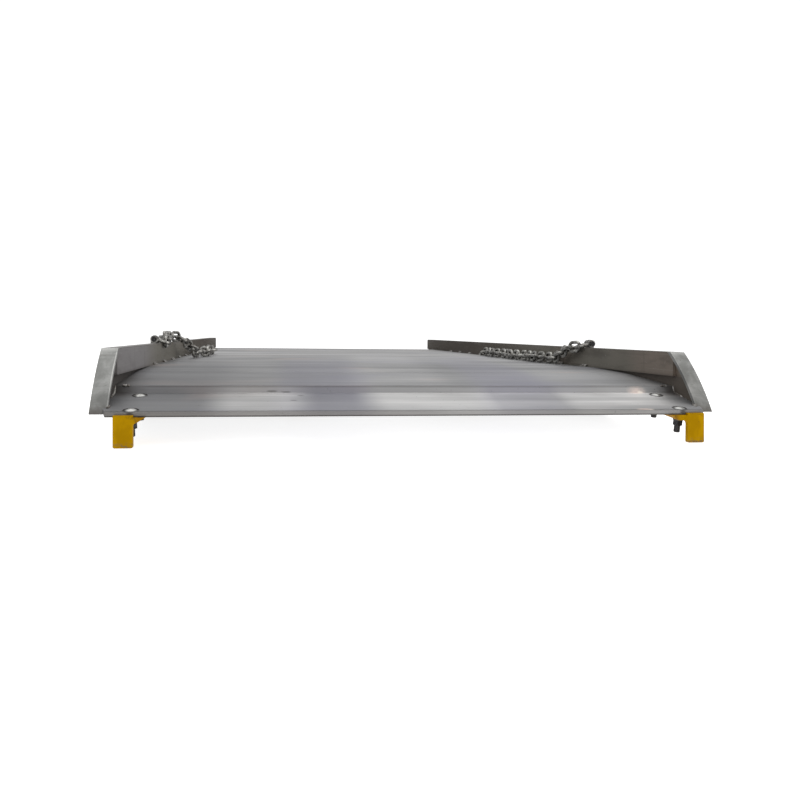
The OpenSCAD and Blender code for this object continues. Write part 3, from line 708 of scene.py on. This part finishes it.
@dataclass(frozen=True)
class BrightBand(Finish):
    """Formed flat bar: dull bright metal, with painted highlights on its inner edge and on the crown of its
    bend, painted shade in the fold's crease, heat-marked at the weld.
    """

    bright: Colour = (0.318, 0.32, 0.31)
    dull: Colour = (0.178, 0.18, 0.172)
    dark: Colour = (0.10, 0.096, 0.088)
    heat: Colour = (0.12, 0.105, 0.095)
    # Painted highlight on the inner edge and the crown of the bend
    rub_and_sheen: Colour = (0.66, 0.66, 0.64)
    brushed: Grain = Grain((26.0, 260.0, 260.0), 4.0, 0.6)
    clouds: Grain = Grain((38.0, 20.0, 20.0), 6.0, 0.65, 0.5)
    blotches: Grain = Grain((18.0, 26.0, 26.0), 3.0, 0.5, 0.3)
    knocks: Grain = Grain((130.0, 420.0, 420.0), 2.0, 0.5)
    # The left side, and how far the painted highlight along the band's inner edge reaches
    left_x: Span = (0.1, -0.1)
    rim: Span = (0.0022, 0.00088)
    # The fold over the level deck, its crease (painted shade) and crown (painted highlight), and the heat
    # marks over the lip's lowest edge
    fold_z: float = 0.030
    crease_shade: Span = (-0.0008, 0.0008)
    crease_soft: float = 0.0016
    crown_highlight: Span = (0.004, 0.010)
    heated: Span = (0.03, 0.012)
    heat_ragged: float = 0.022

    def make(self) -> bpy.types.Material:
        """Builds the material.

        Returns:
            The bands' material.
        """
        t = FinishTree("bright_band")
        foot = self.line.nose_z
        fold = self.line.level_z + self.fold_z
        brush, cloud, blotch = t.noises(self.brushed, self.clouds, self.blotches)
        nicks = t.noise(self.knocks).ramp(0.66, 0.72)
        heat = (t.up + cloud * self.heat_ragged).ramp(*moved(self.heated, foot)) * 0.6
        crease_shade = t.up.band(*moved(self.crease_shade, fold), self.crease_soft)
        crown_highlight = t.up.ramp(*moved(self.crown_highlight, fold))
        rolled = abs(t.across).ramp(*moved(self.rim, self.line.curb_x))
        # Painted highlight along the inner edge, stronger on the left
        rim = rolled * t.across.ramp(*self.left_x, 0.25, 0.9) * blotch.ramp(0.3, 0.6, 0.3, 1.0)
        colour = t.layers(
            self.dull,
            ((cloud * 0.6 + blotch * 0.4).ramp(0.38, 0.62), self.bright),
            (brush.ramp(0.45, 0.75) * 0.35, self.dull),
            (nicks * 0.5, self.dark),
            # painted shade in the crease
            (crease_shade * cloud.ramp(0.35, 0.6) * 0.4, self.dark),
            (heat, self.heat),
            # painted highlights
            ((rim * 0.6).either(crown_highlight * 0.3), self.rub_and_sheen))
        normal = t.bump(nicks, -0.25, 0.0003, t.bump(brush + cloud, 0.2, 0.0003))
        return t.finish(Base_Color=colour, Metallic=0.9, Roughness=0.42 + cloud * 0.2 + heat * 0.15,
                        Normal=normal)


@dataclass(frozen=True)
class SafetyPaint(Finish):
    """Yellow paint on steel with runs, rust and grease by the bolts, small chips and scuffed feet."""

    yellow: Colour = (0.387, 0.212, 0.0008)
    deep: Colour = (0.315, 0.168, 0.0008)
    rust: Colour = (0.22, 0.095, 0.008)
    grease: Colour = (0.045, 0.03, 0.012)
    steel: Colour = (0.10, 0.09, 0.08)
    coats: Grain = Grain((60.0, 60.0, 22.0), 4.0, 0.55, 0.3)
    drips: Grain = Grain((240.0, 240.0, 16.0), 3.0, 0.5)
    orange_peel: Grain = Grain((520.0, 520.0, 520.0), 2.0, 0.5)
    chipping: Grain = Grain((210.0, 210.0, 160.0), 4.0, 0.7, 0.5)
    scuffing: Grain = Grain((170.0, 170.0, 260.0), 4.0, 0.65)
    smears: Grain = Grain((70.0, 70.0, 70.0), 4.0, 0.6, 0.6)
    gloss: float = 0.015
    # Where masks begin and end: over the ground, from the lip's lowest edge, and from the middle
    scuff_z: Span = (0.010, 0.0)
    greasy: Span = (-0.026, -0.006)
    rusty_x: Span = (0.4175, 0.411)

    def make(self) -> bpy.types.Material:
        """Builds the material.

        Returns:
            The legs' material.
        """
        t = FinishTree("safety_paint")
        top = self.line.nose_z
        coat, runs, peel, smear = t.noises(self.coats, self.drips, self.orange_peel, self.smears)
        chips = t.noise(self.chipping).ramp(0.69, 0.72)
        scuffed = t.up.ramp(*self.scuff_z) * t.noise(self.scuffing).ramp(0.48, 0.62)
        greased = smear.ramp(0.54, 0.68) * t.up.ramp(*moved(self.greasy, top))
        rusted = abs(t.across).ramp(*self.rusty_x) * (0.45 + smear * 0.5)
        bare = chips.either(scuffed * 0.8)
        colour = t.layers(
            self.yellow,
            (coat.ramp(0.4, 0.62), self.deep),
            (runs.ramp(0.55, 0.72) * 0.25, self.deep),
            (rusted * 0.7, self.rust),
            (greased * 0.5, self.grease),
            (bare, self.steel))
        roughness = 0.36 + coat * 0.16 + bare * 0.2 + greased * 0.12
        normal = t.bump(1.0 - bare, 0.5, 0.0002, t.bump(peel + runs * 0.5, 0.14, 0.0002))
        return t.finish(Base_Color=colour, Metallic=bare * 0.6, Roughness=roughness,
                        Specular_IOR_Level=self.gloss, Normal=normal)


@dataclass(frozen=True)
class ZincPlate(Finish):
    """Zinc plated bolts and washers: bright heads, with painted shade on the shanks below the lip and a
    painted shadow ring where the heads sit in the spot faces.
    """

    zinc: Colour = (0.41, 0.41, 0.395)
    rub: Colour = (0.24, 0.235, 0.228)
    # Painted shade on the shanks and in the spot faces
    shade_black: Colour = (0.03, 0.029, 0.031)
    grey_shade: Colour = (0.075, 0.072, 0.07)
    clouds: Grain = Grain((160.0, 160.0, 160.0), 4.0, 0.6)
    scratches: Grain = Grain((900.0, 200.0, 200.0), 3.0, 0.6)
    # Heights over the lip's sloped face, below which the painted shade starts
    shaded_shank: Span = (-0.0012, -0.0022)
    rim: Span = (0.0010, -0.0002)

    def make(self) -> bpy.types.Material:
        """Builds the material.

        Returns:
            The bolts' material.
        """
        t = FinishTree("zinc_plate")
        cloud = t.noise(self.clouds)
        scratch = t.noise(self.scratches).ramp(0.6, 0.7)
        over = t.up - (t.along - self.line.along(0.0)) * math.tan(self.line.slope)
        top = self.line.lip(0.0, 0.0).z
        # Painted shade below the lip, and a painted shadow ring at the heads' foot
        shaded_shank = over.ramp(*moved(self.shaded_shank, top))
        rim = over.ramp(*moved(self.rim, top))
        colour = t.layers(
            self.zinc,
            (cloud.ramp(0.42, 0.66) * 0.6, self.rub),
            (scratch * 0.3, self.rub),
            (rim * 0.9, self.shade_black),
            (shaded_shank, t.blend(cloud, self.shade_black, self.grey_shade)))
        roughness = 0.26 + cloud * 0.16 + shaded_shank * 0.15
        return t.finish(Base_Color=colour, Metallic=1.0 - rim * 0.5, Roughness=roughness,
                        Normal=t.bump(cloud, 0.15, 0.0002))


@dataclass(frozen=True)
class OilySteel(Finish):
    """Dark nuts and pins with worn, greasy flats."""

    dark: Colour = (0.03, 0.029, 0.031)
    worn: Colour = (0.15, 0.145, 0.14)
    clouds: Grain = Grain((230.0, 230.0, 230.0), 4.0, 0.6, 0.3)

    def make(self) -> bpy.types.Material:
        """Builds the material.

        Returns:
            The nuts' material.
        """
        t = FinishTree("oily_steel")
        cloud = t.noise(self.clouds)
        colour = t.blend(cloud.ramp(0.52, 0.7) * 0.7, self.dark, self.worn)
        return t.finish(Base_Color=colour, Metallic=0.85, Roughness=0.34 + cloud * 0.25,
                        Normal=t.bump(cloud, 0.2, 0.0003))


@dataclass(frozen=True)
class GalvanisedLink(Finish):
    """Dull zinc on chain: dark in random patches that stand in for the shade in its crevices (painted shade),
    bright spangles that are partly painted highlight, and a little rust.
    """

    grey: Colour = (0.42, 0.415, 0.39)
    dark: Colour = (0.09, 0.086, 0.08)
    shine: Colour = (0.80, 0.80, 0.77)
    rust: Colour = (0.13, 0.065, 0.03)
    spangles: Grain = Grain((330.0, 330.0, 330.0), 3.0, 0.6, 0.3)
    clouds: Grain = Grain((85.0, 85.0, 100.0), 4.0, 0.6)
    rusting: Grain = Grain((150.0, 150.0, 150.0), 4.0, 0.65, 0.4)

    def make(self) -> bpy.types.Material:
        """Builds the material.

        Returns:
            The chains' material.
        """
        t = FinishTree("galvanised_link")
        spangle, cloud = t.noises(self.spangles, self.clouds)
        spots = t.noise(self.rusting).ramp(0.62, 0.7)
        colour = t.layers(
            # painted shade: the dark base shows in random patches
            self.dark,
            (cloud.ramp(0.38, 0.64), self.grey),
            # spangles, partly painted highlight
            (spangle.ramp(0.56, 0.74) * 0.5, self.shine),
            (spots * 0.5, self.rust))
        roughness = 0.30 + cloud * 0.22 + spots * 0.2
        return t.finish(Base_Color=colour, Metallic=0.92 - spots * 0.5, Roughness=roughness,
                        Normal=t.bump(spangle, 0.3, 0.0003))


@dataclass(frozen=True)
class WeldBead(Finish):
    """Rippled aluminium weld, smoky and dull."""

    bead: Colour = (0.46, 0.45, 0.43)
    smoke: Colour = (0.11, 0.10, 0.09)
    clouds: Grain = Grain((90.0, 70.0, 90.0), 4.0, 0.6, 0.4)

    def make(self) -> bpy.types.Material:
        """Builds the material.

        Returns:
            The welds' material.
        """
        t = FinishTree("weld_bead")
        cloud = t.noise(self.clouds)
        colour = t.blend(cloud.ramp(0.44, 0.66), self.smoke, self.bead)
        return t.finish(Base_Color=colour, Metallic=0.8, Roughness=0.42 + cloud * 0.2,
                        Normal=t.bump(cloud, 0.3, 0.0004))


@dataclass(frozen=True)
class PaleFloor(Finish):
    """The studio's plain pale floor, lit from below like a light table."""

    pale: Colour = (0.62, 0.62, 0.62)
    cool: Colour = (0.60, 0.60, 0.605)
    glow: float = 0.83
    clouds: Grain = Grain((0.6, 0.6, 0.6), 2.0, 0.5)

    def make(self) -> bpy.types.Material:
        """Builds the material.

        Returns:
            The floor's material.
        """
        t = FinishTree("pale_floor")
        colour = t.blend(t.noise(self.clouds) * 0.1, self.pale, self.cool)
        return t.finish(Base_Color=colour, Roughness=0.9, Emission_Color=(1.0, 1.0, 1.0),
                        Emission_Strength=self.glow)


class Wardrobe:
    """Makes each finish once and dresses CAD nodes in it."""

    KINDS: tuple[type[Finish], ...] = (ExtrudedDeck, WeatheredRail, BrightBand, SafetyPaint, ZincPlate,
                                       OilySteel, GalvanisedLink, WeldBead, PaleFloor)

    def __init__(self, nodes: dict[str, bpy.types.Object], line: DeckLine) -> None:
        """Keeps the CAD nodes by name and builds every finish around the deck's line."""
        self.nodes = nodes
        self.made: dict[type[Finish], bpy.types.Material] = {kind: kind(line).make() for kind in self.KINDS}

    def dress(self, names: Iterable[str], kind: type[Finish]) -> None:
        """Gives a finish to CAD nodes.

        Args:
            names: The nodes to dress.
            kind: The finish's class.
        """
        for name in names:
            for place in self.nodes[name].material_slots:
                place.material = self.made[kind]
            LOG.info("%s has the finish %s", name, kind.__name__)


def fine_path(points: Sequence[Vector], step: float) -> list[Vector]:
    """Fills a line of points with steps of about the same length.

    Args:
        points: The corners of the line.
        step: Length of a step in metres.

    Returns:
        The filled line.
    """
    filled = [points[0]]
    for a, b in zip(points, points[1:]):
        count = max(1, round((b - a).length / step))
        filled.extend(a.lerp(b, (i + 1) / count) for i in range(count))
    return filled


@dataclass(frozen=True)
class Bead:
    """A swept round bead that tapers at its ends and may ripple along its path."""

    radius: float
    ripple: float = 0.16  # share of the radius
    pitch: float = 0.004  # length of a ripple
    sides: int = 10
    end_taper: float = 0.55  # share of the radius that the ends keep
    steep: float = 0.9  # rise of the path from which its side is found by y, and not by z

    def ring(self, path: Sequence[Vector], number: int, run: float) -> list[Vector]:
        """The corners around one point of the path.

        Args:
            path: Points along the bead's middle.
            number: The point's number in the path.
            run: Length of the path up to the point.

        Returns:
            The ring's corners.
        """
        last = len(path) - 1
        along = (path[min(number + 1, last)] - path[max(number - 1, 0)]).normalized()
        upright = Vector((0.0, 0.0, 1.0)) if abs(along.z) < self.steep else Vector((0.0, 1.0, 0.0))
        side = along.cross(upright).normalized()
        up = side.cross(along)
        taper = self.end_taper if number in (0, last) else 1.0
        size = self.radius * taper * (1.0 + self.ripple * math.sin(2.0 * math.pi * run / self.pitch))
        middle = path[number]
        turns = (2.0 * math.pi * k / self.sides for k in range(self.sides))
        return [middle + side * (size * math.cos(turn)) + up * (size * math.sin(turn)) for turn in turns]

    def sweep(self, name: str, path: Sequence[Vector]) -> bpy.types.Object:
        """Sweeps the bead along a path.

        Args:
            name: Name of the piece.
            path: Points along its middle.

        Returns:
            The new mesh object.
        """
        vertices: list[Vector] = []
        run = 0.0
        for number, point in enumerate(path):
            if number:
                run += (point - path[number - 1]).length
            vertices.extend(self.ring(path, number, run))
        last = len(vertices) - self.sides
        faces: list[tuple[int, ...]] = []
        for start in range(0, last, self.sides):
            for k in range(self.sides):
                a = start + k
                b = start + (k + 1) % self.sides
                faces.append((a, b, b + self.sides, a + self.sides))
        faces.append(tuple(range(self.sides))[::-1])
        faces.append(tuple(range(last, last + self.sides)))
        mesh = bpy.data.meshes.new(name)
        mesh.from_pydata([tuple(v) for v in vertices], [], faces)
        mesh.shade_smooth()
        made = bpy.data.objects.new(name, mesh)
        bpy.context.scene.collection.objects.link(made)
        return made


@dataclass
class Assembly(ABC):
    """A sub-assembly of the ramp, which dresses its CAD nodes and adds its small pieces."""

    wardrobe: Wardrobe
    line: DeckLine

    @abstractmethod
    def build(self) -> None:
        """Dresses the nodes and adds the pieces."""

    def add(self, piece: bpy.types.Object, kind: type[Finish], slot: Slot) -> None:
        """Gives a new piece its finish and fixes it to the ramp.

        Args:
            piece: The new piece.
            kind: The finish's class.
            slot: Not used.
        """
        piece.data.materials.append(self.wardrobe.made[kind])
        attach(piece, RAMP)
        LOG.info("%s is fixed to the ramp", piece.name)

    def weld(self, name: str, points: Sequence[Vector], radius: float, step: float) -> None:
        """Lays one weld bead along a line of points, in short steps."""
        self.add(Bead(radius).sweep(name, fine_path(points, step)), WeldBead, Slot.BAND)


@dataclass
class Deck(Assembly):
    """The crosswise planks."""

    plank_count: int = 6

    def build(self) -> None:
        """Dresses the lip, the bent plank and the level planks."""
        planks = ["lip_plank", "bend_plank", "heel_plank", "ground_plank"]
        planks += [f"deck_plank_{i + 1}" for i in range(self.plank_count)]
        self.wardrobe.dress(planks, ExtrudedDeck)


@dataclass
class Rails(Assembly):
    """Side rails, ledges, curbs, eyes and inner beams, with the welds at the lap's ends."""

    parts: tuple[str, ...] = ("side_rail", "deck_ledge", "curb", "inner_beam", "chain_eye")
    weld_start: float = 0.080
    weld_radius: float = 0.0017
    weld_sink: float = 0.4  # share of its radius
    tack_radius: float = 0.0021
    tack_ends: Span = (0.451, 0.440)
    step: float = 0.0012

    def build(self) -> None:
        """Dresses the rails and lays the welds."""
        for side in Side:
            self.wardrobe.dress([f"{part}_{side.value}" for part in self.parts], WeatheredRail)
            self.wardrobe.dress([f"curb_welds_{side.value}"], WeldBead)
            x = side.sign * (self.line.web_x - self.weld_radius * self.weld_sink)
            corner = [self.line.lip(x, y) for y in (self.weld_start, self.line.lap_y)]
            corner.append(self.line.lap_edge(x))
            self.weld(f"corner_weld_{side.value}", corner, self.weld_radius, self.step)
            ends = [self.line.lap_edge(side.sign * end) for end in self.tack_ends]
            self.weld(f"lap_tack_{side.value}", ends, self.tack_radius, self.step)


@dataclass
class Bands(Assembly):
    """The bent bands that close the curbs at the lip end."""

    bead_radius: float = 0.0022
    bead_sink: float = 0.0006
    foot_y: float = 0.0215
    foot_run: float = 0.012
    step: float = 0.0008

    def build(self) -> None:
        """Dresses the bands and lays a short bead along each foot."""
        for side in Side:
            self.wardrobe.dress([f"end_band_{side.value}"], BrightBand)
            inner = side.sign * (self.line.curb_x - self.bead_sink)
            points = [self.line.lip(inner, y) for y in (self.foot_y, self.foot_y + self.foot_run)]
            self.weld(f"band_weld_{side.value}", points, self.bead_radius, self.step)


@dataclass
class Legs(Assembly):
    """Bracket legs with their bolts, washers and nuts, and the threads below the nuts."""

    # The bolts' axes at the lip's underside: distances from the middle and from the lip's edge
    bolts: tuple[Span, ...] = ((0.423, 0.013), (0.4225, 0.095))
    bolt_r: float = 0.00475
    nut_bottom: float = 0.0203  # along the bolt from the lip's underside
    shank_end: float = 0.0322  # the same
    thread_pitch: float = 0.0015875
    thread_r: float = 0.00042
    thread_sides: int = 6
    steps_per_turn: int = 24

    def build(self) -> None:
        """Dresses the legs and cuts the threads."""
        self.wardrobe.dress([f"leg_{side.value}" for side in Side], SafetyPaint)
        self.wardrobe.dress(["leg_bolts", "leg_washers"], ZincPlate)
        self.wardrobe.dress(["leg_nuts"], OilySteel)
        for side in Side:
            for number, (x, y) in enumerate(self.bolts):
                seat = self.line.under(side.sign * x, y)
                thread = Bead(self.thread_r, ripple=0.0, sides=self.thread_sides)
                piece = thread.sweep(f"thread_{side.value}_{number + 1}", self.thread_path(seat))
                self.add(piece, OilySteel, Slot.DARK_STEEL)

    def thread_path(self, seat: Vector) -> list[Vector]:
        """The thread's ridge around the free end of one bolt.

        Args:
            seat: Where the bolt's axis leaves the lip's underside.

        Returns:
            Points along the ridge, from the nut down.
        """
        axis = Vector((0.0, -math.sin(self.line.slope), math.cos(self.line.slope)))
        across = Vector((1.0, 0.0, 0.0))
        third = axis.cross(across)
        turns = (self.shank_end - self.thread_r - self.nut_bottom) / self.thread_pitch
        path: list[Vector] = []
        for i in range(int(turns * self.steps_per_turn) + 1):
            turn = 2.0 * math.pi * i / self.steps_per_turn
            depth = self.nut_bottom + self.thread_pitch * i / self.steps_per_turn
            ring = across * math.cos(turn) + third * math.sin(turn)
            path.append(seat - axis * depth + ring * self.bolt_r)
        return path


@dataclass
class Chains(Assembly):
    """Shackles, pins and the lifting chains."""

    stretches: tuple[str, ...] = ("lead", "run_a", "run_b", "run_c", "end")

    def build(self) -> None:
        """Dresses both chains."""
        for side in Side:
            links = [f"chain_{stretch}_{side.value}" for stretch in self.stretches]
            self.wardrobe.dress([f"shackle_{side.value}", *links], GalvanisedLink)
            self.wardrobe.dress([f"shackle_pin_{side.value}"], OilySteel)


@dataclass(frozen=True)
class SoftBox:
    """A soft box: its name, its place and aim, its width and height in metres, its power and colour."""

    name: str
    place: Triple
    aim: Triple
    size: Span
    watts: float
    colour: Colour = (1.0, 1.0, 1.0)

    def hang(self) -> None:
        """Hangs the soft box in its place, facing its aim."""
        lamp = bpy.data.lights.new(self.name, "AREA")
        lamp.shape = "RECTANGLE"
        lamp.size, lamp.size_y = self.size
        lamp.energy = self.watts
        lamp.color = self.colour
        held = bpy.data.objects.new(self.name, lamp)
        held.location = self.place
        held.rotation_euler = (Vector(self.aim) - Vector(self.place)).to_track_quat("-Z", "Y").to_euler()
        bpy.context.scene.collection.objects.link(held)


@dataclass
class Studio:
    """Floor, lights, sky and camera."""

    wardrobe: Wardrobe
    floor_half: float = 60.0
    floor_z: float = -0.0004
    overhead: SoftBox = SoftBox(
        "overhead", place=(0.0, 0.2, 3.4), aim=(0.0, 0.0, 0.0), size=(4.5, 4.5), watts=80.0)
    front: SoftBox = SoftBox(
        "front", place=(-1.2, -4.6, 2.2), aim=(0.0, -1.0, 0.1), size=(2.6, 1.6), watts=20.0,
        colour=(1.0, 0.98, 0.96))
    right: SoftBox = SoftBox(
        "right", place=(3.6, -1.7, 1.7), aim=(0.3, -1.0, 0.1), size=(3.0, 2.0), watts=56.0,
        colour=(1.0, 0.96, 0.93))
    sky_light: float = 0.56
    sky_seen: float = 1.1  # by the camera
    # The camera that was fitted to the photograph
    camera_at: Triple = (-0.2205, -2.440687, 0.1677)
    camera_right: Triple = (0.9884, -0.1516, 0.0104)
    camera_down: Triple = (-0.0020, -0.0811, -0.9967)
    focal_pixels: float = 830.0
    frame_pixels: float = 800.0
    sensor: float = 36.0
    view_reach: float = 500.0

    def build(self) -> None:
        """Sets up the whole studio."""
        self.lay_floor()
        for box in (self.overhead, self.front, self.right):
            box.hang()
        self.paint_sky()
        self.place_camera()

    def lay_floor(self) -> None:
        """Lays the floor just under the ramp's feet."""
        h = self.floor_half
        mesh = bpy.data.meshes.new("floor")
        mesh.from_pydata([(-h, -h, 0.0), (h, -h, 0.0), (h, h, 0.0), (-h, h, 0.0)], [], [(0, 1, 2, 3)])
        floor = bpy.data.objects.new("floor", mesh)
        floor.location.z = self.floor_z
        floor.data.materials.append(self.wardrobe.made[PaleFloor])
        bpy.context.scene.collection.objects.link(floor)

    def paint_sky(self) -> None:
        """Gives the world a plain white that the camera sees brighter than it lights the metal."""
        world = bpy.data.worlds.new("studio")
        bpy.context.scene.world = world
        world.use_nodes = True
        sky = ShaderTree(world.node_tree)
        seen = sky.shade("ShaderNodeLightPath", {}, {}, "Is Camera Ray")
        glow = sky.shade("ShaderNodeMapRange", {},
                         {"Value": seen, "To Min": self.sky_light, "To Max": self.sky_seen})
        air = sky.shade("ShaderNodeBackground", {}, {"Color": (1.0, 1.0, 1.0, 1.0), "Strength": glow})
        sky.node("ShaderNodeOutputWorld", {}, {"Surface": air})

    def place_camera(self) -> None:
        """Puts the camera where the photograph was taken from."""
        right = Vector(self.camera_right).normalized()
        up = -Vector(self.camera_down)
        up = (up - right * up.dot(right)).normalized()
        back = right.cross(up)
        lens = bpy.data.cameras.new("camera")
        lens.sensor_width = self.sensor
        lens.lens = self.sensor * self.focal_pixels / self.frame_pixels
        lens.clip_end = self.view_reach
        camera = bpy.data.objects.new("camera", lens)
        turn = Matrix((right, up, back)).transposed().to_4x4()
        camera.matrix_world = Matrix.Translation(self.camera_at) @ turn
        bpy.context.scene.collection.objects.link(camera)
        bpy.context.scene.camera = camera
        bpy.context.scene.view_settings.view_transform = "Standard"


def main() -> None:
    """Builds the looks of the ramp around the CAD frame."""
    logging.basicConfig(level=logging.INFO, format="%(name)s: %(message)s")
    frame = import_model()
    line = DeckLine.measured()
    wardrobe = Wardrobe(frame["nodes"], line)
    for assembly in (Deck, Rails, Bands, Legs, Chains):
        assembly(wardrobe, line).build()
        LOG.info("%s is dressed", assembly.__name__)
    Studio(wardrobe).build()
    LOG.info("the studio is set up")


if __name__ == "__main__":
    main()
